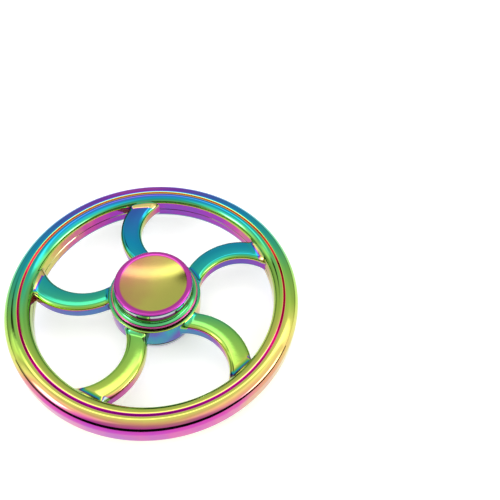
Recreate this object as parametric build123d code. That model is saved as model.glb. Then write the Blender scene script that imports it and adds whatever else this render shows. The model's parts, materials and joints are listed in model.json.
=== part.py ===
from build123d import *
import os
from math import cos, hypot, radians, sin, sqrt, tan

# Fidget spinner: a five-spoke wheel that turns on a small ball bearing between two finger caps.
# Millimetres, +Z along the spin axis. The origin is at the centre of the bottom cap's lip, the
# face that the spinner stands on. Every piece is drawn about the wheel's middle plane and then
# lifted by half the overall height.

OVERALL_HEIGHT = 12.8

# Wheel rim: a rounded outer bead and a narrower inner bead, parted by a fine groove on each face.
# The wall towards the spokes leans by the casting's draft, each way from its parting seam.
WHEEL_DIAMETER = 60.0
RIM_THICKNESS = 6.7
RIM_OUTER_ROUND = 2.3
RIM_WALL_DIAMETER = 49.6
RIM_INNER_ROUND = 1.65
RIM_INNER_DROP = 0.08
RIM_DRAFT_DEGREES = 3.0
RIM_SEAM_WIDTH = 0.24
RIM_SEAM_DEPTH = 0.08
RIM_GROOVE_DIAMETER = 53.8
RIM_GROOVE_WIDTH = 0.46
RIM_GROOVE_DEPTH = 0.65

# Hub boss, as thick as the bearing that it holds
HUB_DIAMETER = 18.8
HUB_THICKNESS = 4.8
HUB_EDGE_ROUND = 0.2

# Spokes: each is a crescent between two arcs, given here for the spoke that points along +Y
SPOKE_COUNT = 5
SPOKE_THICKNESS = 3.5
SPOKE_EDGE_ROUND = 1.05
SPOKE_BACK_ARC_CENTRE = (2.85, 18.05)
SPOKE_BACK_ARC_RADIUS = 13.0
SPOKE_FRONT_ARC_CENTRE = (3.75, 17.75)
SPOKE_FRONT_ARC_RADIUS = 9.4
SPOKE_ROOT_RADIUS = 8.9
SPOKE_TIP_RADIUS = 26.2

# Webs that blend each spoke's faces up into the rim and the hub
RIM_WEB_START = 23.7
RIM_WEB_END = 25.15
RIM_WEB_HEIGHT = 0.7
HUB_WEB_START = 10.5
HUB_WEB_END = 9.4
HUB_WEB_HEIGHT = 0.5
WEB_HOLLOW = 0.15

# Bearing, R188 size: 1/4 inch bore, 1/2 inch outside diameter, 3/16 inch wide
BEARING_BORE = 6.35
BEARING_OUTSIDE = 12.7
BEARING_WIDTH = 4.762
BALL_COUNT = 10
BALL_DIAMETER = 1.588
PITCH_DIAMETER = 9.525
RACEWAY_ARC_RADIUS = 0.83
RACEWAY_CLEARANCE = 0.03
INNER_LAND_DIAMETER = 8.45
OUTER_LAND_DIAMETER = 10.6
RACE_CHAMFER = 0.2
SHIELD_SEAT_DIAMETER = 11.8
SHIELD_SEAT_DEPTH = 0.62

# Ball cage: two pressed ribbons that arch over the balls and meet flat between them
CAGE_THICKNESS = 0.16
CAGE_WIDTH = 0.7
CAGE_POCKET_CLEARANCE = 0.07

# Shields, and the split snap rings that hold them in the outer race
SHIELD_THICKNESS = 0.2
SHIELD_EDGE_CLEARANCE = 0.02
SHIELD_BORE_CLEARANCE = 0.15
SNAP_RING_WIRE = 0.24
SNAP_RING_SEAT = 0.08
SNAP_RING_CLEARANCE = 0.01
SNAP_RING_GAP_DEGREES = 24.0

# Finger caps: heights are above the wheel's middle plane
CAP_LIP_DIAMETER = 15.8
CAP_LIP_ROUND = 0.45
CAP_LIP_THICKNESS = 1.05
CAP_DISH_DIAMETER = 13.8
CAP_DISH_DEPTH = 0.95
CAP_NECK_DIAMETER = 15.4
CAP_NECK_TAPER = 0.1
CAP_NECK_COVE = 0.75
CAP_FLANGE_DIAMETER = 17.7
CAP_FLANGE_THICKNESS = 0.45
CAP_FLANGE_ROUND = 0.2
CAP_HUB_GAP = 0.35
CAP_SHOULDER_DIAMETER = 7.7
CAP_SPIGOT_CLEARANCE = 0.02
CAP_SPIGOT_END = 0.15

# Stud: headless M4 screw with a hexagon socket; its thread is drawn as a plain cylinder
STUD_DIAMETER = 4.0
STUD_LENGTH = 8.0
STUD_CHAMFER = 0.4
STUD_SOCKET_ACROSS_FLATS = 2.0
STUD_SOCKET_DEPTH = 2.0
STUD_HOLE_CLEARANCE = 0.02
STUD_HOLE_SPARE_DEPTH = 0.4

FULL_TURN = 360.0
CUT_MARGIN = 1.0


def at(radius, height):
    """Point of a profile: distance from the spin axis and height above the middle plane."""
    return (radius, 0, height)


def spin(*edges):
    """Solid of revolution about Z from the edges of a closed profile."""
    return revolve(make_face(edges), Axis.Z, FULL_TURN)


def spin_corners(*corners):
    """Solid of revolution about Z from a closed profile with straight sides."""
    outline = Polyline([at(radius, height) for radius, height in corners], close=True)
    return revolve(make_face(outline.edges()), Axis.Z, FULL_TURN)


def ring(inner_radius, outer_radius, low, high):
    """Plain ring about Z between two heights."""
    return spin_corners(
        (inner_radius, low),
        (outer_radius, low),
        (outer_radius, high),
        (inner_radius, high),
    )


def below(shape):
    """The same shape on the other side of the middle plane."""
    return mirror(shape, about=Plane.XY)


def around(shape, count):
    """Copies of a shape, evenly spaced about the spin axis."""
    return [shape.rotate(Axis.Z, number * FULL_TURN / count) for number in range(count)]


def arc_height(centre, arc_radius, radius):
    """Height of a profile arc, above its own centre, at a distance from the spin axis."""
    return sqrt(arc_radius**2 - (radius - centre) ** 2)


def rim():
    """Rim: outer bead, V groove and inner bead on both faces, and the drafted wall with its seam."""
    outside = WHEEL_DIAMETER / 2
    outer_centre = outside - RIM_OUTER_ROUND
    outer_height = RIM_THICKNESS / 2 - RIM_OUTER_ROUND
    outer_diagonal = RIM_OUTER_ROUND * cos(radians(45))
    inner_centre = RIM_WALL_DIAMETER / 2 + RIM_INNER_ROUND
    inner_height = RIM_THICKNESS / 2 - RIM_INNER_DROP - RIM_INNER_ROUND
    inner_diagonal = RIM_INNER_ROUND * cos(radians(45))

    groove = RIM_GROOVE_DIAMETER / 2
    groove_in = groove - RIM_GROOVE_WIDTH / 2
    groove_out = groove + RIM_GROOVE_WIDTH / 2
    groove_in_height = inner_height + arc_height(inner_centre, RIM_INNER_ROUND, groove_in)
    groove_out_height = outer_height + arc_height(outer_centre, RIM_OUTER_ROUND, groove_out)
    groove_bottom = RIM_THICKNESS / 2 - RIM_GROOVE_DEPTH

    # The inner bead's arc runs smoothly into the wall, where its normal leans by the draft
    draft = radians(RIM_DRAFT_DEGREES)
    wall = inner_centre - RIM_INNER_ROUND * cos(draft)
    wall_height = inner_height + RIM_INNER_ROUND * sin(draft)
    seam_edge = RIM_SEAM_WIDTH / 2
    seam = wall - (wall_height - seam_edge) * tan(draft)

    edges = [Line(at(outside, -outer_height), at(outside, outer_height))]
    for side in (1, -1):
        edges += [
            ThreePointArc(
                at(outside, side * outer_height),
                at(outer_centre + outer_diagonal, side * (outer_height + outer_diagonal)),
                at(groove_out, side * groove_out_height),
            ),
            Line(at(groove_out, side * groove_out_height), at(groove, side * groove_bottom)),
            Line(at(groove, side * groove_bottom), at(groove_in, side * groove_in_height)),
            ThreePointArc(
                at(groove_in, side * groove_in_height),
                at(inner_centre - inner_diagonal, side * (inner_height + inner_diagonal)),
                at(wall, side * wall_height),
            ),
            Line(at(wall, side * wall_height), at(seam, side * seam_edge)),
            Line(at(seam, side * seam_edge), at(seam + RIM_SEAM_DEPTH, 0)),
        ]
    return spin(*edges)


def hub():
    """Hub boss with rounded rims, still without its bore."""
    boss = Cylinder(HUB_DIAMETER / 2, HUB_THICKNESS)
    return fillet(boss.edges().filter_by(GeomType.CIRCLE), HUB_EDGE_ROUND)


def arc_point(centre, arc_radius, distance):
    """Point of a spoke's edge arc at a distance from the spin axis, on the spoke's own side."""
    centre_distance = hypot(*centre)
    along = (distance**2 - arc_radius**2 + centre_distance**2) / (2 * centre_distance)
    across = sqrt(distance**2 - along**2)
    unit_x = centre[0] / centre_distance
    unit_y = centre[1] / centre_distance
    return (along * unit_x - across * unit_y, along * unit_y + across * unit_x)


def spoke_outline():
    """Crescent outline of one spoke, with both ends buried in the rim and the hub."""
    middle = (SPOKE_ROOT_RADIUS + SPOKE_TIP_RADIUS) / 2
    back = [
        arc_point(SPOKE_BACK_ARC_CENTRE, SPOKE_BACK_ARC_RADIUS, distance)
        for distance in (SPOKE_ROOT_RADIUS, middle, SPOKE_TIP_RADIUS)
    ]
    front = [
        arc_point(SPOKE_FRONT_ARC_CENTRE, SPOKE_FRONT_ARC_RADIUS, distance)
        for distance in (SPOKE_ROOT_RADIUS, middle, SPOKE_TIP_RADIUS)
    ]
    return make_face([
        ThreePointArc(*back),
        Line(back[2], front[2]),
        ThreePointArc(*front),
        Line(front[0], back[0]),
    ])


def web_ring(start, end, height):
    """Ring whose hollow upper and lower faces rise from the spokes' faces to a wall."""
    face_height = SPOKE_THICKNESS / 2
    middle = (start + end) / 2
    middle_height = face_height + height / 2 - WEB_HOLLOW
    edges = [
        Line(at(start, -face_height), at(start, face_height)),
        Line(at(end, face_height + height), at(end, -face_height - height)),
    ]
    for side in (1, -1):
        edges.append(
            ThreePointArc(
                at(start, side * face_height),
                at(middle, side * middle_height),
                at(end, side * (face_height + height)),
            )
        )
    return spin(*edges)


def spoke():
    """One spoke with rounded long edges, and the webs at both of its ends."""
    outline = spoke_outline()
    bar = extrude(outline, SPOKE_THICKNESS / 2, both=True)
    long_edges = bar.edges().filter_by(GeomType.CIRCLE)
    rounded = fillet(long_edges, SPOKE_EDGE_ROUND)
    column = extrude(outline, HUB_THICKNESS, both=True)
    rim_web = column & web_ring(RIM_WEB_START, RIM_WEB_END, RIM_WEB_HEIGHT)
    hub_web = column & web_ring(HUB_WEB_START, HUB_WEB_END, HUB_WEB_HEIGHT)
    return rounded + rim_web + hub_web


def wheel():
    """The one-piece casting: rim, spokes and hub, bored for the bearing."""
    casting = rim() + hub()
    for arm in around(spoke(), SPOKE_COUNT):
        casting += arm
    return casting - Cylinder(BEARING_OUTSIDE / 2, HUB_THICKNESS + CUT_MARGIN)


def outer_race():
    """Outer race: raceway, and at each end a step for the shield with a seat for its snap ring."""
    half_width = BEARING_WIDTH / 2
    outside = BEARING_OUTSIDE / 2
    land = OUTER_LAND_DIAMETER / 2
    seat = SHIELD_SEAT_DIAMETER / 2
    step = half_width - SHIELD_SEAT_DEPTH
    groove_bottom = (PITCH_DIAMETER + BALL_DIAMETER) / 2 + RACEWAY_CLEARANCE
    groove_edge = arc_height(groove_bottom - RACEWAY_ARC_RADIUS, RACEWAY_ARC_RADIUS, land)
    edges = [
        Line(at(outside, RACE_CHAMFER - half_width), at(outside, half_width - RACE_CHAMFER)),
        ThreePointArc(at(land, groove_edge), at(groove_bottom, 0), at(land, -groove_edge)),
    ]
    for side in (1, -1):
        edges += Polyline(
            at(outside, side * (half_width - RACE_CHAMFER)),
            at(outside - RACE_CHAMFER, side * half_width),
            at(seat, side * half_width),
            at(seat, side * step),
            at(land, side * step),
            at(land, side * groove_edge),
        ).edges()
    seat_wire = SNAP_RING_WIRE / 2 + SNAP_RING_CLEARANCE
    seat_cut = Pos(0, 0, snap_ring_height()) * Torus(snap_ring_radius(), seat_wire)
    return spin(*edges) - seat_cut - below(seat_cut)


def inner_race():
    """Inner race: bore for the caps' spigots, raceway and chamfered ends."""
    half_width = BEARING_WIDTH / 2
    bore = BEARING_BORE / 2
    land = INNER_LAND_DIAMETER / 2
    groove_bottom = (PITCH_DIAMETER - BALL_DIAMETER) / 2 - RACEWAY_CLEARANCE
    groove_edge = arc_height(groove_bottom + RACEWAY_ARC_RADIUS, RACEWAY_ARC_RADIUS, land)
    edges = [
        Line(at(bore, RACE_CHAMFER - half_width), at(bore, half_width - RACE_CHAMFER)),
        ThreePointArc(at(land, groove_edge), at(groove_bottom, 0), at(land, -groove_edge)),
    ]
    for side in (1, -1):
        edges += Polyline(
            at(bore, side * (half_width - RACE_CHAMFER)),
            at(bore + RACE_CHAMFER, side * half_width),
            at(land, side * half_width),
            at(land, side * groove_edge),
        ).edges()
    return spin(*edges)


def balls():
    """The balls, evenly spaced on the pitch circle."""
    first = Pos(PITCH_DIAMETER / 2, 0, 0) * Sphere(BALL_DIAMETER / 2)
    return around(first, BALL_COUNT)


def cage_half():
    """Upper cage ribbon: flat between the balls, with an arch over each ball."""
    inner = (PITCH_DIAMETER - CAGE_WIDTH) / 2
    outer = (PITCH_DIAMETER + CAGE_WIDTH) / 2
    pocket_radius = BALL_DIAMETER / 2 + CAGE_POCKET_CLEARANCE
    arch_radius = pocket_radius + CAGE_THICKNESS
    along_ball = Pos(PITCH_DIAMETER / 2, 0, 0) * Rot(0, 90, 0)
    arch = along_ball * Cylinder(arch_radius, CAGE_WIDTH + CUT_MARGIN)
    pocket = along_ball * Cylinder(pocket_radius, CAGE_WIDTH + 2 * CUT_MARGIN)
    ribbon = ring(inner, outer, 0, CAGE_THICKNESS)
    arch_zone = ring(inner, outer, 0, arch_radius + CUT_MARGIN)
    for number in range(BALL_COUNT):
        turn = Rot(0, 0, number * FULL_TURN / BALL_COUNT)
        ribbon += turn * arch & arch_zone
    for number in range(BALL_COUNT):
        turn = Rot(0, 0, number * FULL_TURN / BALL_COUNT)
        ribbon -= turn * pocket
    return ribbon


def shield_height():
    """Height of the face of the outer race that the shield lies on."""
    return BEARING_WIDTH / 2 - SHIELD_SEAT_DEPTH


def shield():
    """Upper shield: thin ring on the outer race's step, clear of the inner race."""
    inner = INNER_LAND_DIAMETER / 2 + SHIELD_BORE_CLEARANCE
    outer = SHIELD_SEAT_DIAMETER / 2 - SHIELD_EDGE_CLEARANCE
    low = shield_height()
    return ring(inner, outer, low, low + SHIELD_THICKNESS)


def snap_ring_height():
    """Height of the snap ring's wire, which lies on the shield."""
    return shield_height() + SHIELD_THICKNESS + SNAP_RING_WIRE / 2 + SNAP_RING_CLEARANCE


def snap_ring_radius():
    """Radius of the snap ring's centre line, sprung a little into the outer race."""
    return SHIELD_SEAT_DIAMETER / 2 + SNAP_RING_SEAT - SNAP_RING_WIRE / 2


def snap_ring():
    """Upper snap ring: a wire ring with a gap."""
    section = Plane.XZ * Pos(snap_ring_radius(), snap_ring_height()) * Circle(SNAP_RING_WIRE / 2)
    return revolve(section, Axis.Z, FULL_TURN - SNAP_RING_GAP_DEGREES)


def finger_cap():
    """Top cap: dish, lip, neck and flange outside; shoulder, spigot and stud hole inside."""
    top = OVERALL_HEIGHT / 2
    dish = CAP_DISH_DIAMETER / 2
    lip = CAP_LIP_DIAMETER / 2
    neck = CAP_NECK_DIAMETER / 2
    neck_foot = neck + CAP_NECK_TAPER
    flange = CAP_FLANGE_DIAMETER / 2
    flange_bottom = HUB_THICKNESS / 2 + CAP_HUB_GAP
    flange_top = flange_bottom + CAP_FLANGE_THICKNESS
    lip_bottom = top - CAP_LIP_THICKNESS
    shoulder = CAP_SHOULDER_DIAMETER / 2
    spigot = BEARING_BORE / 2 - CAP_SPIGOT_CLEARANCE
    hole = STUD_DIAMETER / 2 + STUD_HOLE_CLEARANCE
    hole_top = STUD_LENGTH / 2 + STUD_HOLE_SPARE_DEPTH

    # The dish is part of a sphere: its height halfway out gives the arc's middle point
    sphere_radius = (dish**2 + CAP_DISH_DEPTH**2) / (2 * CAP_DISH_DEPTH)
    sphere_centre = top - CAP_DISH_DEPTH + sphere_radius
    dish_middle_height = sphere_centre - arc_height(0, sphere_radius, dish / 2)

    # An arc that rounds a corner passes at 45 degrees from the corner's arc centre
    corner = cos(radians(45))
    edges = [
        ThreePointArc(at(0, top - CAP_DISH_DEPTH), at(dish / 2, dish_middle_height), at(dish, top)),
        Line(at(dish, top), at(lip - CAP_LIP_ROUND, top)),
        ThreePointArc(
            at(lip - CAP_LIP_ROUND, top),
            at(lip - CAP_LIP_ROUND * (1 - corner), top - CAP_LIP_ROUND * (1 - corner)),
            at(lip, top - CAP_LIP_ROUND),
        ),
        Line(at(lip, top - CAP_LIP_ROUND), at(lip, lip_bottom)),
        Line(at(lip, lip_bottom), at(neck, lip_bottom)),
        Line(at(neck, lip_bottom), at(neck_foot, flange_top + CAP_NECK_COVE)),
        ThreePointArc(
            at(neck_foot, flange_top + CAP_NECK_COVE),
            at(neck_foot + CAP_NECK_COVE * (1 - corner), flange_top + CAP_NECK_COVE * (1 - corner)),
            at(neck_foot + CAP_NECK_COVE, flange_top),
        ),
        Line(at(neck_foot + CAP_NECK_COVE, flange_top), at(flange - CAP_FLANGE_ROUND, flange_top)),
        ThreePointArc(
            at(flange - CAP_FLANGE_ROUND, flange_top),
            at(flange - CAP_FLANGE_ROUND * (1 - corner), flange_top - CAP_FLANGE_ROUND * (1 - corner)),
            at(flange, flange_top - CAP_FLANGE_ROUND),
        ),
    ]
    edges += Polyline(
        at(flange, flange_top - CAP_FLANGE_ROUND),
        at(flange, flange_bottom + CAP_FLANGE_ROUND),
        at(flange - CAP_FLANGE_ROUND, flange_bottom),
        at(shoulder, flange_bottom),
        at(shoulder, BEARING_WIDTH / 2),
        at(spigot, BEARING_WIDTH / 2),
        at(spigot, CAP_SPIGOT_END),
        at(hole, CAP_SPIGOT_END),
        at(hole, hole_top),
        at(0, hole_top),
        at(0, top - CAP_DISH_DEPTH),
    ).edges()
    return spin(*edges)


def cap_stud():
    """Headless screw, with its hexagon socket in the upper end."""
    blank = Cylinder(STUD_DIAMETER / 2, STUD_LENGTH)
    rod = chamfer(blank.edges().filter_by(GeomType.CIRCLE), STUD_CHAMFER)
    hexagon = RegularPolygon(STUD_SOCKET_ACROSS_FLATS / 2, 6, major_radius=False)
    socket_floor = Pos(0, 0, STUD_LENGTH / 2 - STUD_SOCKET_DEPTH)
    return rod - extrude(socket_floor * hexagon, STUD_SOCKET_DEPTH + CUT_MARGIN)


def pieces():
    """Every piece of the spinner by name."""
    cap = finger_cap()
    cage = cage_half()
    plate = shield()
    wire = snap_ring()
    named = {
        "wheel": wheel(),
        "bearing_outer_race": outer_race(),
        "bearing_inner_race": inner_race(),
        "ball_cage_upper": cage,
        "ball_cage_lower": below(cage),
        "bearing_shield_upper": plate,
        "bearing_shield_lower": below(plate),
        "snap_ring_upper": wire,
        "snap_ring_lower": below(wire),
        "finger_cap_top": cap,
        "finger_cap_bottom": below(cap),
        "cap_stud": cap_stud(),
    }
    for number, ball in enumerate(balls(), start=1):
        named[f"bearing_ball_{number:02d}"] = ball
    return named


os.makedirs("parts", exist_ok=True)
for name, piece in pieces().items():
    export_step(Pos(0, 0, OVERALL_HEIGHT / 2) * piece, f"parts/{name}.step")
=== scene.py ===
import json
from math import asin, cos, degrees, hypot, pi, radians, sin, sqrt, tan

import bmesh
import bpy
from mathutils import Matrix, Vector


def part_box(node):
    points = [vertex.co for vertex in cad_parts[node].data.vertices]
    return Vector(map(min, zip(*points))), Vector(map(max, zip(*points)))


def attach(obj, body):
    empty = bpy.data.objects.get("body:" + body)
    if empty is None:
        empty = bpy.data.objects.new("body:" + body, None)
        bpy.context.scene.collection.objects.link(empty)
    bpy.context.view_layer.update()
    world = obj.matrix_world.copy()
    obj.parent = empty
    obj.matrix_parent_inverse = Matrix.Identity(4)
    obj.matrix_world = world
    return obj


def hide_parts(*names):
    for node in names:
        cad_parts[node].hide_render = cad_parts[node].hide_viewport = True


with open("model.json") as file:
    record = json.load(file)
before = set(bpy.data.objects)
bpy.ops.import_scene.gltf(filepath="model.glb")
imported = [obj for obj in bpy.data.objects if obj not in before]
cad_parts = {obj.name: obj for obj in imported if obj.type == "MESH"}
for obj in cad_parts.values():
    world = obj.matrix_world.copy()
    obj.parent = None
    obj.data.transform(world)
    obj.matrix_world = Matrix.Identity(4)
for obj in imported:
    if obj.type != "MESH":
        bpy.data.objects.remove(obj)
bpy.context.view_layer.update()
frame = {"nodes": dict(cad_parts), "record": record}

MM = 0.001

# The wheel and the caps are drawn again with finer surfaces than the CAD meshes have. Their main
# sizes come from the frame's boxes, and the profile details below are in metres.
WHEEL_LOW, WHEEL_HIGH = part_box("wheel")
CAP_LOW, CAP_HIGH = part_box("finger_cap_top")
RACE_LOW, RACE_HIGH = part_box("bearing_outer_race")
MIDDLE = (WHEEL_LOW.z + WHEEL_HIGH.z) / 2
WHEEL_RADIUS = (WHEEL_HIGH.x - WHEEL_LOW.x) / 2
RIM_HALF = (WHEEL_HIGH.z - WHEEL_LOW.z) / 2
BORE_RADIUS = (RACE_HIGH.x - RACE_LOW.x) / 2
FLANGE_RADIUS = (CAP_HIGH.x - CAP_LOW.x) / 2
CAP_TOP = CAP_HIGH.z - MIDDLE

# How far inside the CAD surfaces the finer ones lie, so that they never leave the CAD's box
SKIN = 0.012 * MM

RIM_OUTER_ROUND = 2.3 * MM
RIM_WALL_RADIUS = 24.8 * MM
RIM_INNER_ROUND = 1.65 * MM
RIM_INNER_DROP = 0.08 * MM
RIM_DRAFT_DEGREES = 3
RIM_SEAM_HALF_WIDTH = 0.12 * MM
RIM_SEAM_DEPTH = 0.08 * MM
GROOVE_RADIUS = 26.9 * MM
GROOVE_HALF_WIDTH = 0.23 * MM
GROOVE_DEPTH = 0.65 * MM

HUB_RADIUS = 9.4 * MM
HUB_HALF = 2.4 * MM
HUB_EDGE_ROUND = 0.2 * MM

SPOKE_COUNT = 5
SPOKE_HALF = 1.75 * MM
SPOKE_CROWN = 0.06 * MM
SPOKE_ROUND = 1.05 * MM

# Edge arcs of the spoke that points along +Y, as centre and radius, and where it starts and ends
SPOKE_BACK = ((2.85 * MM, 18.05 * MM), 13.0 * MM)
SPOKE_FRONT = ((3.75 * MM, 17.75 * MM), 9.4 * MM)
SPOKE_ROOT = 8.9 * MM
SPOKE_TIP = 25.3 * MM

# Where a spoke's faces rise into a wall: distances of the foot and of the wall, and the rise
RIM_COVE = (23.8 * MM, 25.0 * MM, 0.75 * MM)
HUB_COVE = (10.3 * MM, 9.35 * MM, 0.5 * MM)

CAP_LIP_RADIUS = 7.9 * MM
CAP_LIP_ROUND = 0.45 * MM
CAP_LIP_THICKNESS = 1.05 * MM
CAP_DISH_RADIUS = 6.9 * MM
CAP_DISH_DEPTH = 0.95 * MM
CAP_NECK_RADIUS = 7.7 * MM
CAP_NECK_TAPER = 0.1 * MM
CAP_NECK_COVE = 0.75 * MM
CAP_FLANGE_THICKNESS = 0.45 * MM
CAP_FLANGE_ROUND = 0.2 * MM
CAP_HUB_GAP = 0.35 * MM
CAP_SHOULDER_RADIUS = 3.85 * MM
CAP_SPIGOT_RADIUS = 3.155 * MM
CAP_SPIGOT_END = 0.15 * MM
CAP_HOLE_RADIUS = 2.02 * MM
CAP_HOLE_TOP = 4.4 * MM
BEARING_HALF = 2.381 * MM

LATHE_STEPS = 384
ARC_STEPS = 14
SMALL_ARC_STEPS = 8
STRAIGHT_STEPS = 4
CROWN_STEPS = 10
DISH_STEPS = 48
SPOKE_STATIONS = 72
CREASE = radians(28)
SAME_PLACE = 1e-8


def arc(centre, radius, start, end, steps=ARC_STEPS):
    """Points of a profile arc from one angle to another, in degrees from the outward direction."""
    points = []
    for number in range(steps + 1):
        angle = radians(start + (end - start) * number / steps)
        points.append((centre[0] + radius * cos(angle), centre[1] + radius * sin(angle)))
    return points


def straight(start, end, steps=STRAIGHT_STEPS):
    """Evenly spaced points from one profile point to another."""
    outwards = end[0] - start[0]
    upwards = end[1] - start[1]
    return [
        (start[0] + outwards * number / steps, start[1] + upwards * number / steps)
        for number in range(steps + 1)
    ]


def apart(first, second):
    """Whether two profile points are in different places."""
    return hypot(first[0] - second[0], first[1] - second[1]) > SAME_PLACE


def joined(*runs):
    """One closed profile from runs of points, without the points where runs meet twice."""
    profile = []
    for point in (point for run in runs for point in run):
        if not profile or apart(point, profile[-1]):
            profile.append(point)
    if not apart(profile[0], profile[-1]):
        profile.pop()
    return profile


def mirrored(points):
    """A run of profile points on the other side of the middle plane, in reverse order."""
    return [(radius, -height) for radius, height in reversed(points)]


def mesh_object(name, bm):
    """Object from a bmesh, in the scene, with its faces turned outwards."""
    bmesh.ops.recalc_face_normals(bm, faces=bm.faces)
    mesh = bpy.data.meshes.new(name)
    bm.to_mesh(mesh)
    bm.free()
    piece = bpy.data.objects.new(name, mesh)
    bpy.context.scene.collection.objects.link(piece)
    return piece


def lathe(name, profile, closed=True):
    """Solid of revolution from a profile of (radius, height above the middle plane) points.

    A closed profile runs all round a ring's section. An open one starts and ends on the axis.
    """
    bm = bmesh.new()
    rings = []
    for radius, height in profile:
        if radius < SAME_PLACE:
            rings.append([bm.verts.new((0, 0, MIDDLE + height))])
            continue
        angles = (2 * pi * turn / LATHE_STEPS for turn in range(LATHE_STEPS))
        rings.append([
            bm.verts.new((radius * cos(angle), radius * sin(angle), MIDDLE + height))
            for angle in angles
        ])
    pairs = list(zip(rings, rings[1:]))
    if closed:
        pairs.append((rings[-1], rings[0]))
    for first, second in pairs:
        for turn in range(LATHE_STEPS):
            after = (turn + 1) % LATHE_STEPS
            if len(first) == 1:
                bm.faces.new((first[0], second[turn], second[after]))
            elif len(second) == 1:
                bm.faces.new((first[turn], second[0], first[after]))
            else:
                bm.faces.new((first[turn], second[turn], second[after], first[after]))
    return mesh_object(name, bm)


def degrees_past(centre, radius, arc_radius):
    """Degrees from the top of a profile arc to the point at a distance from the axis."""
    return degrees(asin((centre - radius) / arc_radius))


def rim():
    """Rim: outer bead, V groove and inner bead on both faces, and a drafted wall with its seam."""
    half = RIM_HALF - SKIN
    outer = (WHEEL_RADIUS - SKIN - RIM_OUTER_ROUND, half - RIM_OUTER_ROUND)
    inner = (RIM_WALL_RADIUS + RIM_INNER_ROUND, half - RIM_INNER_DROP - RIM_INNER_ROUND)
    outer_end = 90 + degrees_past(outer[0], GROOVE_RADIUS + GROOVE_HALF_WIDTH, RIM_OUTER_ROUND)
    inner_start = 90 + degrees_past(inner[0], GROOVE_RADIUS - GROOVE_HALF_WIDTH, RIM_INNER_ROUND)
    bead = arc(outer, RIM_OUTER_ROUND, 0, outer_end, 2 * ARC_STEPS)
    inner_end = 180 - RIM_DRAFT_DEGREES
    narrow_bead = arc(inner, RIM_INNER_ROUND, inner_start, inner_end, 2 * ARC_STEPS)
    groove = (GROOVE_RADIUS, half - GROOVE_DEPTH)
    wall = narrow_bead[-1]
    draft = (wall[1] - RIM_SEAM_HALF_WIDTH) * tan(radians(RIM_DRAFT_DEGREES))
    seam = (wall[0] - draft, RIM_SEAM_HALF_WIDTH)
    upper = joined(
        bead,
        straight(bead[-1], groove),
        straight(groove, narrow_bead[0]),
        narrow_bead,
        straight(wall, seam, steps=3),
    )
    seam_floor = [(seam[0] + RIM_SEAM_DEPTH, 0)]
    return lathe("wheel_rim", joined(upper, seam_floor, mirrored(upper)))


def hub():
    """Hub boss with rounded edges and the bearing's bore."""
    half = HUB_HALF - SKIN
    corner = (HUB_RADIUS - HUB_EDGE_ROUND, half - HUB_EDGE_ROUND)
    upper = joined(
        arc(corner, HUB_EDGE_ROUND, 0, 90, SMALL_ARC_STEPS),
        straight((corner[0], half), (BORE_RADIUS, half)),
    )
    return lathe("wheel_hub", joined(upper, mirrored(upper)))


def arc_point(arc_shape, distance, inset):
    """Point of a spoke's edge arc, drawn in by an inset, at a distance from the spin axis."""
    centre, radius = arc_shape
    radius += inset
    centre_distance = hypot(*centre)
    along = (distance**2 - radius**2 + centre_distance**2) / (2 * centre_distance)
    across = sqrt(max(distance**2 - along**2, 0))
    unit_x = centre[0] / centre_distance
    unit_y = centre[1] / centre_distance
    return (along * unit_x - across * unit_y, along * unit_y + across * unit_x)


def cove_height(distance):
    """How far a spoke's faces rise towards the rim's wall and the hub's."""
    rise = 0
    for start, end, height in (RIM_COVE, HUB_COVE):
        share = min(max((distance - start) / (end - start), 0), 1)
        rise += height * (1 - sqrt(1 - share**2))
    return rise


def spoke_section(distance):
    """Closed section of a spoke at a distance from the axis, as points of (x, y, height)."""
    rise = cove_height(distance)
    upper = []
    for edge, sign, angles in ((SPOKE_BACK, -1, (0, 90)), (SPOKE_FRONT, 1, (90, 0))):
        corner = []
        for step in range(ARC_STEPS + 1):
            angle = radians(angles[0] + (angles[1] - angles[0]) * step / ARC_STEPS)
            inset = SPOKE_ROUND * (1 - cos(angle))
            height = SPOKE_HALF + rise - SPOKE_ROUND * (1 - sin(angle))
            x, y = arc_point(edge, distance, sign * inset)
            corner.append((x, y, height))
        upper.append(corner)
    back, front = upper
    crown = []
    for step in range(1, CROWN_STEPS):
        share = step / CROWN_STEPS
        bulge = SPOKE_CROWN * 4 * share * (1 - share)
        x, y, height = (
            start + (end - start) * share for start, end in zip(back[-1], front[0])
        )
        crown.append((x, y, height + bulge))
    top = back + crown + front
    return top + [(x, y, -height) for x, y, height in reversed(top)]


def spoke(turn):
    """One spoke from inside the hub's wall to inside the rim's."""
    bm = bmesh.new()
    rings = []
    for station in range(SPOKE_STATIONS + 1):
        distance = SPOKE_ROOT + (SPOKE_TIP - SPOKE_ROOT) * station / SPOKE_STATIONS
        section = spoke_section(distance)
        rings.append([bm.verts.new((x, y, MIDDLE + height)) for x, y, height in section])
    count = len(rings[0])
    for first, second in zip(rings, rings[1:]):
        for number in range(count):
            after = (number + 1) % count
            bm.faces.new((first[number], second[number], second[after], first[after]))
    bm.faces.new(rings[0])
    bm.faces.new(rings[-1])
    bmesh.ops.remove_doubles(bm, verts=bm.verts, dist=SAME_PLACE)
    bmesh.ops.rotate(bm, verts=bm.verts, cent=(0, 0, 0), matrix=Matrix.Rotation(turn, 3, "Z"))
    return mesh_object("spoke", bm)


def smooth(piece):
    """Smooth shading, with the real corners kept sharp."""
    piece.data.shade_smooth()
    piece.data.set_sharp_from_angle(angle=CREASE)


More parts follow.
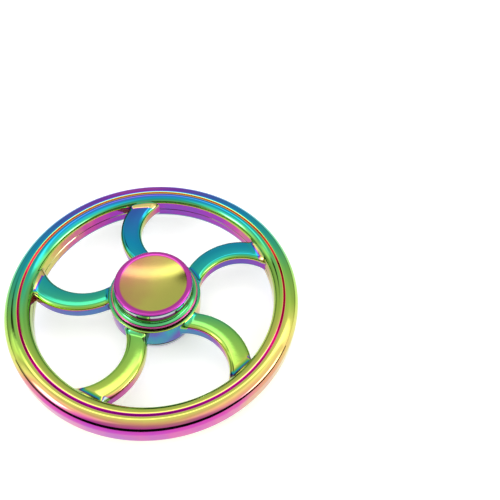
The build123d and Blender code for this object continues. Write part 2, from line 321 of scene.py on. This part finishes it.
def wheel():
    """The one-piece casting: rim, hub and spokes united into one closed skin."""
    casting = rim()
    others = [hub()] + [spoke(2 * pi * number / SPOKE_COUNT) for number in range(SPOKE_COUNT)]
    for other in others:
        union = casting.modifiers.new("union", "BOOLEAN")
        union.operation = "UNION"
        union.solver = "EXACT"
        union.object = other
    bpy.context.view_layer.update()
    evaluated = casting.evaluated_get(bpy.context.evaluated_depsgraph_get())
    united = bpy.data.meshes.new_from_object(evaluated)
    casting.modifiers.clear()
    casting.data = united
    casting.name = "wheel_casting"
    for other in others:
        bpy.data.objects.remove(other)
    smooth(casting)
    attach(casting, "wheel")
    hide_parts("wheel")
    return casting


def cap_profile():
    """Profile of the upper finger cap, from the middle of its dish round to its stud hole."""
    top = CAP_TOP - SKIN
    sphere = (CAP_DISH_RADIUS**2 + CAP_DISH_DEPTH**2) / (2 * CAP_DISH_DEPTH)
    centre = top - CAP_DISH_DEPTH + sphere
    dish = []
    for step in range(DISH_STEPS + 1):
        radius = CAP_DISH_RADIUS * step / DISH_STEPS
        dish.append((radius, centre - sqrt(sphere**2 - radius**2)))
    lip = (CAP_LIP_RADIUS - CAP_LIP_ROUND, top - CAP_LIP_ROUND)
    lip_bottom = top - CAP_LIP_THICKNESS
    flange_bottom = HUB_HALF + CAP_HUB_GAP
    flange_top = flange_bottom + CAP_FLANGE_THICKNESS
    foot = CAP_NECK_RADIUS + CAP_NECK_TAPER
    cove = (foot + CAP_NECK_COVE, flange_top + CAP_NECK_COVE)
    edge = FLANGE_RADIUS - SKIN - CAP_FLANGE_ROUND
    return joined(
        dish,
        arc(lip, CAP_LIP_ROUND, 90, 0),
        straight((CAP_LIP_RADIUS, lip[1]), (CAP_LIP_RADIUS, lip_bottom), steps=2),
        straight((CAP_NECK_RADIUS, lip_bottom), (foot, cove[1]), steps=6),
        arc(cove, CAP_NECK_COVE, 180, 270, 2 * ARC_STEPS),
        arc((edge, flange_top - CAP_FLANGE_ROUND), CAP_FLANGE_ROUND, 90, 0, SMALL_ARC_STEPS),
        arc((edge, flange_bottom + CAP_FLANGE_ROUND), CAP_FLANGE_ROUND, 0, -90, SMALL_ARC_STEPS),
        [
            (CAP_SHOULDER_RADIUS, flange_bottom),
            (CAP_SHOULDER_RADIUS, BEARING_HALF),
            (CAP_SPIGOT_RADIUS, BEARING_HALF),
            (CAP_SPIGOT_RADIUS, CAP_SPIGOT_END),
            (CAP_HOLE_RADIUS, CAP_SPIGOT_END),
            (CAP_HOLE_RADIUS, CAP_HOLE_TOP),
            (0, CAP_HOLE_TOP),
        ],
    )


def finger_cap(name, node, side):
    """One finger cap, above or below the wheel."""
    profile = [(radius, side * height) for radius, height in cap_profile()]
    piece = lathe(name, profile, closed=False)
    smooth(piece)
    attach(piece, "grip")
    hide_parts(node)
    return piece


def node(tree, kind, settings=None, inputs=None):
    """Shader node with its settings, and its inputs set to values or linked to sockets."""
    made = tree.nodes.new(kind)
    for name, value in (settings or {}).items():
        setattr(made, name, value)
    for name, value in (inputs or {}).items():
        if isinstance(value, bpy.types.NodeSocket):
            tree.links.new(value, made.inputs[name])
        else:
            made.inputs[name].default_value = value
    return made


def maths(tree, operation, first, second=0.0, third=0.0):
    """Result of a Math node."""
    inputs = {0: first, 1: second, 2: third}
    return node(tree, "ShaderNodeMath", {"operation": operation}, inputs).outputs[0]


def total(tree, *values):
    """Sum of several values."""
    result = values[0]
    for value in values[1:]:
        result = maths(tree, "ADD", result, value)
    return result


def product(tree, first, second):
    """Product of two values."""
    return maths(tree, "MULTIPLY", first, second)


def vector_maths(tree, operation, first, second, output):
    """Result of a Vector Math node, from its output for vectors or its output for values."""
    made = node(tree, "ShaderNodeVectorMath", {"operation": operation}, {0: first, 1: second})
    return made.outputs[output]


def dot(tree, first, second):
    """Dot product of two vectors."""
    return vector_maths(tree, "DOT_PRODUCT", first, second, "Value")


def level_part(tree, vector):
    """A vector without its vertical part."""
    return vector_maths(tree, "MULTIPLY", vector, (1, 1, 0), "Vector")


def distance_out(tree, place):
    """Distance from the spin axis."""
    inputs = {0: level_part(tree, place)}
    return node(tree, "ShaderNodeVectorMath", {"operation": "LENGTH"}, inputs).outputs["Value"]


def scaled(tree, colour, gain):
    """Colour times a factor."""
    inputs = {"Vector": colour, "Scale": gain}
    return node(tree, "ShaderNodeVectorMath", {"operation": "SCALE"}, inputs).outputs["Vector"]


def fade(tree, value, low, high, start=0.0, end=1.0):
    """Smooth step of a value: start at low, end at high."""
    inputs = {"Value": value, "From Min": low, "From Max": high, "To Min": start, "To Max": end}
    made = node(tree, "ShaderNodeMapRange", {"interpolation_type": "SMOOTHSTEP"}, inputs)
    return made.outputs["Result"]


def blend(tree, share, start, end):
    """Value between two others."""
    inputs = {"Factor": share, "A": start, "B": end}
    return node(tree, "ShaderNodeMix", inputs=inputs).outputs["Result"]


def noise(tree, place, size, detail=2.0):
    """Noise between 0 and 1 with features of a size in metres."""
    inputs = {"Vector": place, "Scale": 1 / size, "Detail": detail}
    return node(tree, "ShaderNodeTexNoise", inputs=inputs).outputs["Fac"]


def ramp(tree, value, stops, low=0.0, high=1.0):
    """Colour of a value, from (value, colour) stops between low and high."""
    inputs = {"Value": value, "From Min": low, "From Max": high}
    share = node(tree, "ShaderNodeMapRange", inputs=inputs).outputs["Result"]
    made = node(tree, "ShaderNodeValToRGB", inputs={"Fac": share})
    elements = made.color_ramp.elements
    while len(elements) < len(stops):
        elements.new(0.5)
    for element, (at, colour) in zip(elements, stops):
        element.position = (at - low) / (high - low)
        element.color = (*colour, 1)
    return made.outputs["Color"]


def surface(name):
    """New material: its node tree, its shader and the coordinates of the object that wears it."""
    material = bpy.data.materials.new(name)
    material.use_nodes = True
    tree = material.node_tree
    shader = tree.nodes["Principled BSDF"]
    coordinates = node(tree, "ShaderNodeTexCoord")
    return material, tree, shader, coordinates


def bump(tree, shader, height, distance):
    """Fine relief on a shader, with a depth in metres."""
    inputs = {"Strength": 1.0, "Distance": distance, "Height": height}
    relief = node(tree, "ShaderNodeBump", inputs=inputs)
    tree.links.new(relief.outputs["Normal"], shader.inputs["Normal"])


def dress(piece, material):
    """Puts one material on a piece."""
    piece.data.materials.clear()
    piece.data.materials.append(material)


# Interference colours of the plating as its film grows thicker, through one turn of the hues and
# a little more. The unit is such that a film of about 1 shows blue.
FILM_COLOURS = (
    (-0.30, (0.48, 0.54, 0.56)),
    (-0.22, (0.03, 0.33, 0.35)),
    (-0.14, (0.05, 0.22, 0.43)),
    (-0.07, (0.12, 0.09, 0.43)),
    (-0.01, (0.31, 0.04, 0.42)),
    (0.045, (0.53, 0.06, 0.32)),
    (0.09, (0.58, 0.28, 0.14)),
    (0.14, (0.58, 0.54, 0.12)),
    (0.28, (0.38, 0.55, 0.08)),
    (0.55, (0.18, 0.49, 0.09)),
    (0.74, (0.05, 0.43, 0.20)),
    (0.90, (0.02, 0.36, 0.33)),
    (1.08, (0.01, 0.27, 0.46)),
    (1.25, (0.04, 0.13, 0.46)),
    (1.38, (0.20, 0.04, 0.44)),
    (1.46, (0.50, 0.07, 0.34)),
    (1.56, (0.58, 0.48, 0.16)),
)

# The film on the wheel. It came mostly from above and from beyond the rim at +Y, so a level face has
# more of it the nearer it is to that side. A field is a constant, its slopes along Y and X and its
# curve along Y, with places counted in wheel radii from the spin axis.
LEVEL_FLUX = (0.58, 0.70, -0.13, -0.15)
RIM_FLUX = (-0.21, 0.16, -0.14, 0.15)
RIM_FLUX_FADE = (22.8 * MM, 25.2 * MM)
LEAST_FLUX = -0.04
LEAST_FLUX_ROUND = 0.12
BASE_FILM = 0.2

# A face that looks towards +Y gets this much more, at the spin axis and as its change out to the rim
SIDE_FILM = 0.46
SIDE_FILM_CHANGE = -0.28

# Upward parts of the normal between which a face goes from a wall to one that the flux reached
WALL_FADE = (0.04, 0.25)

# Film on the slopes of the coves, by how far they lean outwards, and the distances over which it
# comes in at the foot of each cove and ends at its wall
RIM_COVE_FILM = -2.0
HUB_COVE_FILM = 0.7
COVE_TILT_FADE = (0.05, 0.2)
RIM_COVE_START = (RIM_COVE[0] - 0.1 * MM, RIM_COVE[0] + 0.05 * MM)
RIM_COVE_END = (RIM_WALL_RADIUS - 0.05 * MM, RIM_WALL_RADIUS)
HUB_COVE_START = (HUB_COVE[0] + 0.1 * MM, HUB_COVE[0] - 0.05 * MM)
HUB_COVE_END = (HUB_RADIUS + 0.02 * MM, HUB_RADIUS + 0.1 * MM)

# Uneven film: the size of its patches, and its strength on open faces and on walls
DRIFT_SIZE = 5 * MM
OPEN_DRIFT = 0.05
WALL_DRIFT = 0.1
HUB_WALL_DRIFT = 0.42
HUB_WALL_FADE = (9.6 * MM, 12 * MM)

# The groove's film where Y is 0, its slope along Y in wheel radii, how much brighter the groove is
# than the beads, which is painted light in the narrow groove, and where it ends: distance from its
# middle, and upward part of the normal
GROOVE_FILM = 0.055
GROOVE_FILM_SLOPE = 0.045
GROOVE_PAINTED_LIGHT = 1.4
GROOVE_FADE = (0.2 * MM, 0.42 * MM)
GROOVE_TILT_FADE = (0.1, 0.3)

# Roughness of the plating where it is clean and where it is rubbed, and its slight waviness
RUBBED_SIZE = 3 * MM
RUBBED_FADE = (0.45, 0.75)
WHEEL_ROUGHNESS = (0.04, 0.08)
RIPPLE_SIZE = 1.6 * MM
RIPPLE_DEPTH = 0.006 * MM


def film_colour(tree, film):
    """Colour of a film thickness."""
    return ramp(tree, film, FILM_COLOURS, FILM_COLOURS[0][0], FILM_COLOURS[-1][0])


def field(tree, place, constant, along_y, along_x, curve):
    """Quantity that varies over the wheel."""
    towards_y = dot(tree, place, (0, 1 / WHEEL_RADIUS, 0))
    slopes = dot(tree, place, (along_x / WHEEL_RADIUS, along_y / WHEEL_RADIUS, 0))
    bend = product(tree, product(tree, towards_y, towards_y), curve)
    return total(tree, slopes, bend, constant)


def flux(tree, place, out):
    """What a level face got from above."""
    on_rim = fade(tree, out, *RIM_FLUX_FADE)
    rim_change = product(tree, on_rim, field(tree, place, *RIM_FLUX))
    open_flux = total(tree, field(tree, place, *LEVEL_FLUX), rim_change)
    return maths(tree, "SMOOTH_MAX", open_flux, LEAST_FLUX, LEAST_FLUX_ROUND)


def cove_film(tree, place, facing, upwards, out):
    """Change of the film on the coves at the two ends of a spoke."""
    leaning_out = maths(tree, "DIVIDE", dot(tree, level_part(tree, facing), place), out)
    in_rim_cove = product(
        tree,
        fade(tree, out, *RIM_COVE_START),
        fade(tree, out, *RIM_COVE_END, 1.0, 0.0),
    )
    in_hub_cove = product(
        tree,
        fade(tree, out, *HUB_COVE_START),
        fade(tree, out, *HUB_COVE_END),
    )
    by_cove = total(
        tree,
        product(tree, in_rim_cove, RIM_COVE_FILM),
        product(tree, in_hub_cove, HUB_COVE_FILM),
    )
    return product(tree, product(tree, leaning_out, by_cove), fade(tree, upwards, *COVE_TILT_FADE))


def groove_share(tree, tilt, out):
    """1 in the rim's grooves and 0 elsewhere."""
    off_middle = maths(tree, "ABSOLUTE", maths(tree, "SUBTRACT", out, GROOVE_RADIUS))
    near = fade(tree, off_middle, *GROOVE_FADE, 1.0, 0.0)
    return product(tree, near, fade(tree, tilt, *GROOVE_TILT_FADE))


def wheel_plating():
    """Rainbow plating. Its film depends on where a face points and where it lies on the wheel."""
    material, tree, shader, coordinates = surface("rainbow_plating")
    place = coordinates.outputs["Object"]
    facing = coordinates.outputs["Normal"]
    out = distance_out(tree, place)
    upwards = dot(tree, facing, (0, 0, 1))
    tilt = maths(tree, "ABSOLUTE", upwards)
    open_share = fade(tree, tilt, *WALL_FADE)
    from_above = product(tree, product(tree, upwards, flux(tree, place, out)), open_share)
    side_film = maths(tree, "MULTIPLY_ADD", out, SIDE_FILM_CHANGE / WHEEL_RADIUS, SIDE_FILM)
    from_side = product(tree, dot(tree, facing, (0, 1, 0)), side_film)
    from_coves = cove_film(tree, place, facing, upwards, out)
    wall_drift = fade(tree, out, *HUB_WALL_FADE, HUB_WALL_DRIFT, WALL_DRIFT)
    strength = blend(tree, open_share, wall_drift, OPEN_DRIFT)
    patches = maths(tree, "SUBTRACT", noise(tree, place, DRIFT_SIZE), 0.5)
    drift = product(tree, patches, strength)
    open_film = total(tree, from_above, from_side, from_coves, drift, BASE_FILM)
    along_groove = dot(tree, place, (0, GROOVE_FILM_SLOPE / WHEEL_RADIUS, 0))
    groove_film = total(tree, along_groove, GROOVE_FILM)
    in_groove = groove_share(tree, tilt, out)
    film = blend(tree, in_groove, open_film, groove_film)
    # Painted light: the groove's colour is made brighter than the beads' so that the narrow groove
    # does not go dark.
    gain = blend(tree, in_groove, 1.0, GROOVE_PAINTED_LIGHT)
    colour = scaled(tree, film_colour(tree, film), gain)
    tree.links.new(colour, shader.inputs["Base Color"])
    shader.inputs["Metallic"].default_value = 1.0
    rubbed = noise(tree, place, RUBBED_SIZE, detail=4.0)
    roughness = fade(tree, rubbed, *RUBBED_FADE, *WHEEL_ROUGHNESS)
    tree.links.new(roughness, shader.inputs["Roughness"])
    bump(tree, shader, noise(tree, place, RIPPLE_SIZE), RIPPLE_DEPTH)
    return material


# The film on a cap: in the middle of its dish, with slopes along X and Y in dish radii; on its lip,
# at the side and on top; on its waist, below and in the recess under the lip, where a purple film is
# picked so that the recess shows dark as part of its painted shade; on the flange
DISH_FILM = 0.115
DISH_FILM_SLOPES = (0.045, -0.02)
DISH_DRIFT = 0.03
DISH_DRIFT_SIZE = 4 * MM
LIP_FILM = (-0.30, 0.03)
LIP_TILT_FADE = (0.05, 0.85)
LIP_FADE = (CAP_DISH_RADIUS - 0.45 * MM, CAP_DISH_RADIUS + 0.05 * MM)
WAIST_FILM = (0.68, 0.02)
RECESS_FADE = (4.1 * MM, 4.3 * MM)
FLANGE_EDGE_FILM = 0.05
FLANGE_EDGE_FADE = (FLANGE_RADIUS - 0.42 * MM, FLANGE_RADIUS - 0.22 * MM)
LIP_BOTTOM = CAP_TOP - CAP_LIP_THICKNESS
LIP_BOTTOM_FADE = (LIP_BOTTOM - 0.02 * MM, LIP_BOTTOM)

# How bright the plating is on the satin dish and on the lip, how far the painted shade darkens it in
# the recess under the lip, how rough it is on the dish and past it, how much rubbing changes that at
# the least and over its range, and the fine turning marks
DISH_GAIN = 0.9
LIP_GAIN = 1.0
RECESS_PAINTED_SHADE = 0.3
CAP_ROUGHNESS = (0.13, 0.05)
SATIN_FADE = (CAP_DISH_RADIUS - 0.3 * MM, CAP_DISH_RADIUS)
CAP_RUBBED_SIZE = 1.5 * MM
CAP_RUBBED_LEAST = -0.02
CAP_RUBBED_RANGE = 0.05
TURNING_PITCH = 0.11 * MM
TURNING_DEPTH = 0.0004 * MM


def cap_plating():
    """Plating of a cap: gold satin dish, magenta lip, pale lip side, green waist, red flange edge,
    and painted shade in the recess under the lip.
    """
    material, tree, shader, coordinates = surface("cap_rainbow_plating")
    place = coordinates.outputs["Object"]
    facing = coordinates.outputs["Normal"]
    out = distance_out(tree, place)
    tilt = maths(tree, "ABSOLUTE", dot(tree, facing, (0, 0, 1)))
    height = maths(tree, "ABSOLUTE", maths(tree, "SUBTRACT", dot(tree, place, (0, 0, 1)), MIDDLE))
    along_x, along_y = (slope / CAP_DISH_RADIUS for slope in DISH_FILM_SLOPES)
    across = dot(tree, place, (along_x, along_y, 0))
    patches = noise(tree, place, DISH_DRIFT_SIZE)
    dish_film = total(tree, across, maths(tree, "MULTIPLY_ADD", patches, DISH_DRIFT, DISH_FILM))
    lip_film = fade(tree, tilt, *LIP_TILT_FADE, *LIP_FILM)
    waist_film = fade(tree, height, *RECESS_FADE, *WAIST_FILM)
    on_edge = fade(tree, out, *FLANGE_EDGE_FADE)
    below_film = blend(tree, on_edge, waist_film, FLANGE_EDGE_FILM)
    below_lip = fade(tree, height, *LIP_BOTTOM_FADE, 1.0, 0.0)
    on_lip = fade(tree, out, *LIP_FADE)
    film = blend(tree, on_lip, dish_film, blend(tree, below_lip, lip_film, below_film))
    # Painted shade: the colour in the recess under the lip is darkened, where the lip's shadow would
    # fall.
    painted_shade = product(tree, fade(tree, height, *RECESS_FADE), below_lip)
    gain = blend(tree, painted_shade, blend(tree, on_lip, DISH_GAIN, LIP_GAIN), RECESS_PAINTED_SHADE)
    colour = scaled(tree, film_colour(tree, film), gain)
    tree.links.new(colour, shader.inputs["Base Color"])
    shader.inputs["Metallic"].default_value = 1.0
    satin = fade(tree, out, *SATIN_FADE, *CAP_ROUGHNESS)
    marks = noise(tree, place, CAP_RUBBED_SIZE, detail=4.0)
    rubbed = maths(tree, "MULTIPLY_ADD", marks, CAP_RUBBED_RANGE, CAP_RUBBED_LEAST)
    tree.links.new(maths(tree, "ADD", satin, rubbed), shader.inputs["Roughness"])
    turning = maths(tree, "SINE", product(tree, out, 2 * pi / TURNING_PITCH))
    bump(tree, shader, turning, TURNING_DEPTH)
    return material


# Bare metals of the inner pieces, by the record's material slot: name, colour, roughness, size of
# the grain and its depth. Then where the grain goes from dark to bright, and how much darker and
# duller its dark part is.
STEELS = {
    "bearing_steel": ("ground_steel", (0.62, 0.62, 0.64), 0.16, 0.3 * MM, 0.0005 * MM),
    "ball_steel": ("lapped_steel", (0.72, 0.73, 0.75), 0.06, 0.5 * MM, 0.0001 * MM),
    "pressed_steel": ("pressed_steel", (0.55, 0.55, 0.56), 0.28, 0.2 * MM, 0.001 * MM),
    "spring_wire": ("spring_wire", (0.42, 0.42, 0.45), 0.3, 0.15 * MM, 0.001 * MM),
    "stud_steel": ("black_oxide", (0.04, 0.04, 0.045), 0.42, 0.25 * MM, 0.002 * MM),
}
GRAIN_FADE = (0.3, 0.7)
GRAIN_SHADE = 0.7
GRAIN_DULLNESS = 1.4


def steel(name, colour, roughness, grain, relief):
    """Bare metal with a grain that shows in colour, gloss and relief."""
    material, tree, shader, coordinates = surface(name)
    spread = noise(tree, coordinates.outputs["Object"], grain, detail=5.0)
    dark = tuple(part * GRAIN_SHADE for part in colour)
    low, high = GRAIN_FADE
    tree.links.new(ramp(tree, spread, ((low, dark), (high, colour))), shader.inputs["Base Color"])
    shader.inputs["Metallic"].default_value = 1.0
    uneven = fade(tree, spread, low, high, roughness * GRAIN_DULLNESS, roughness)
    tree.links.new(uneven, shader.inputs["Roughness"])
    bump(tree, shader, spread, relief)
    return material


def inner_parts():
    """Materials of the bearing's pieces and the stud, which keep their CAD meshes."""
    finishes = {slot: steel(*finish) for slot, finish in STEELS.items()}
    for part in frame["record"]["subparts"]:
        if part["material_slot"] in finishes:
            dress(frame["nodes"][part["node"]], finishes[part["material_slot"]])


def grey(value):
    """A neutral colour."""
    return (value, value, value)


FLOOR_HALF_WIDTH = 1.5
FLOOR_PATCH_SIZE = 0.12
FLOOR_SHADES = ((0.3, grey(0.88)), (0.7, grey(0.93)))
FLOOR_GLOW = 0.35


def floor():
    """Plain pale floor under the spinner, lit a little from within so that it stays near white."""
    bm = bmesh.new()
    bmesh.ops.create_grid(bm, x_segments=8, y_segments=8, size=FLOOR_HALF_WIDTH)
    piece = mesh_object("floor", bm)
    material, tree, shader, coordinates = surface("pale_floor")
    spread = noise(tree, coordinates.outputs["Object"], FLOOR_PATCH_SIZE)
    tree.links.new(ramp(tree, spread, FLOOR_SHADES), shader.inputs["Base Color"])
    shader.inputs["Roughness"].default_value = 0.9
    shader.inputs["Specular IOR Level"].default_value = 0.1
    shader.inputs["Emission Color"].default_value = (1, 1, 1, 1)
    shader.inputs["Emission Strength"].default_value = FLOOR_GLOW
    dress(piece, material)


# The dark card: its bend, the azimuth of its middle and its half width in degrees, its height at the
# ends and how much higher its middle is, and its shades from the ends to the middle
FLAG_RADIUS = 0.11
FLAG_MIDDLE = 276
FLAG_HALF_WIDTH = 84
FLAG_END_HEIGHT = 0.015
FLAG_RISE = 0.025
FLAG_STEPS = 64
FLAG_SHADES = ((0.25, grey(0.16)), (0.8, grey(0.008)))
FLAG_WEAVE_SIZE = 0.4 * MM
FLAG_WEAVE = 0.02


def flag():
    """Low dark card in front of the spinner: the bright metal shows it as its dark lines."""
    bm = bmesh.new()
    columns = []
    for step in range(FLAG_STEPS + 1):
        share = 2 * step / FLAG_STEPS - 1
        angle = radians(FLAG_MIDDLE + FLAG_HALF_WIDTH * share)
        x = FLAG_RADIUS * cos(angle)
        y = FLAG_RADIUS * sin(angle)
        height = FLAG_END_HEIGHT + FLAG_RISE * cos(share * pi / 2)
        columns.append((bm.verts.new((x, y, 0)), bm.verts.new((x, y, height))))
    for first, second in zip(columns, columns[1:]):
        bm.faces.new((first[0], second[0], second[1], first[1]))
    piece = mesh_object("dark_flag", bm)
    material, tree, shader, coordinates = surface("dark_card")
    place = coordinates.outputs["Object"]
    weave = maths(
        tree, "MULTIPLY_ADD", noise(tree, place, FLAG_WEAVE_SIZE), FLAG_WEAVE, -FLAG_WEAVE / 2
    )
    front = dot(tree, place, towards(FLAG_MIDDLE, 0) / FLAG_RADIUS)
    shade = ramp(tree, maths(tree, "ADD", front, weave), FLAG_SHADES)
    tree.links.new(shade, shader.inputs["Base Color"])
    shader.inputs["Specular IOR Level"].default_value = 0.0
    dress(piece, material)
    piece.visible_camera = False


def towards(azimuth, elevation):
    """Unit vector towards an azimuth from +X and an elevation, in degrees."""
    level = cos(radians(elevation))
    return Vector((
        cos(radians(azimuth)) * level, sin(radians(azimuth)) * level, sin(radians(elevation))
    ))


# Soft boxes in the studio, and last a dark gap between two of them. Each has the azimuth from +X and
# the elevation of its middle, its width and height, the softness of its edges, and its brightness.
PANELS = (
    (207, 37, 42, 46, 0.3, 0.8),
    (207, 30, 16, 18, 0.5, 7.0),
    (352, 36, 64, 66, 0.25, 0.7),
    (345, 14, 28, 14, 0.5, 7.0),
    (95, 69, 110, 9, 0.6, 1.7),
    (152, 49, 22, 15, 0.5, -0.78),
)

# The tent's brightness by the upward part of the direction, in two parts that add up. Each goes over
# a range, from and to, from its first value to its second.
TENT_OVERHEAD = (0.7, 0.98, 0.78, 1.1)
TENT_LOW = (0.05, 0.4, -0.3, 0.0)

# Cosines of the angle to a panel's middle between which its mirror image behind is cut off
PANEL_SIDE_FADE = (0.0, 0.1)


def panel(tree, direction, azimuth, elevation, width, height, soft, brightness):
    """Brightness of a soft-edged rectangular panel in the studio, with its sizes in degrees."""
    middle = towards(azimuth, elevation)
    aside = towards(azimuth + 90, 0)
    upright = middle.cross(aside)
    share = fade(tree, dot(tree, direction, middle), *PANEL_SIDE_FADE)
    for axis, size in ((aside, width), (upright, height)):
        offset = maths(tree, "ABSOLUTE", dot(tree, direction, axis))
        half = sin(radians(size / 2))
        inside = fade(tree, offset, half * (1 - soft), half * (1 + soft), 1.0, 0.0)
        share = product(tree, share, inside)
    return product(tree, share, brightness)


def studio():
    """Studio: a grey tent, brighter overhead and darker low down, and the soft boxes in it."""
    world = bpy.data.worlds.new("studio")
    bpy.context.scene.world = world
    world.use_nodes = True
    tree = world.node_tree
    background = tree.nodes["Background"]
    direction = node(tree, "ShaderNodeTexCoord").outputs["Generated"]
    upwards = dot(tree, direction, (0, 0, 1))
    tent = total(tree, fade(tree, upwards, *TENT_OVERHEAD), fade(tree, upwards, *TENT_LOW))
    light = total(tree, tent, *(panel(tree, direction, *sizes) for sizes in PANELS))
    seen = node(tree, "ShaderNodeLightPath").outputs["Is Camera Ray"]
    tree.links.new(blend(tree, seen, light, 1.0), background.inputs["Strength"])
    background.inputs["Color"].default_value = (1, 1, 1, 1)


# The camera's place from the middle of the wheel. Its azimuth and elevation, in degrees, are those of
# the direction back along its line of sight, and its roll is anticlockwise, seen from behind it. The
# lens and the sensor are in millimetres, and the shift is a share of the sensor.
CAMERA_PLACE = Vector((20.162, -72.834, 118.229)) * MM
CAMERA_AZIMUTH = 266.380
CAMERA_ELEVATION = 53.304
CAMERA_ROLL = 6.851
CAMERA_LENS = 47.08
CAMERA_SENSOR = 36
CAMERA_SHIFT = -0.06


def camera():
    """Camera that looks down on the spinner from the front."""
    data = bpy.data.cameras.new("camera")
    data.lens = CAMERA_LENS
    data.sensor_width = CAMERA_SENSOR
    data.shift_x = CAMERA_SHIFT
    holder = bpy.data.objects.new("camera", data)
    bpy.context.scene.collection.objects.link(holder)
    back = towards(CAMERA_AZIMUTH, CAMERA_ELEVATION)
    right = Matrix.Rotation(radians(CAMERA_ROLL), 3, back) @ towards(CAMERA_AZIMUTH + 90, 0)
    up = back.cross(right)
    turn = Matrix((right, up, back)).transposed().to_4x4()
    place = CAMERA_PLACE + Vector((0, 0, MIDDLE))
    holder.matrix_world = Matrix.Translation(place) @ turn
    bpy.context.scene.camera = holder


casting = wheel()
dress(casting, wheel_plating())
plating = cap_plating()
dress(finger_cap("cap_upper", "finger_cap_top", 1), plating)
dress(finger_cap("cap_lower", "finger_cap_bottom", -1), plating)
inner_parts()
floor()
flag()
studio()
camera()
bpy.context.scene.view_settings.view_transform = "Standard"
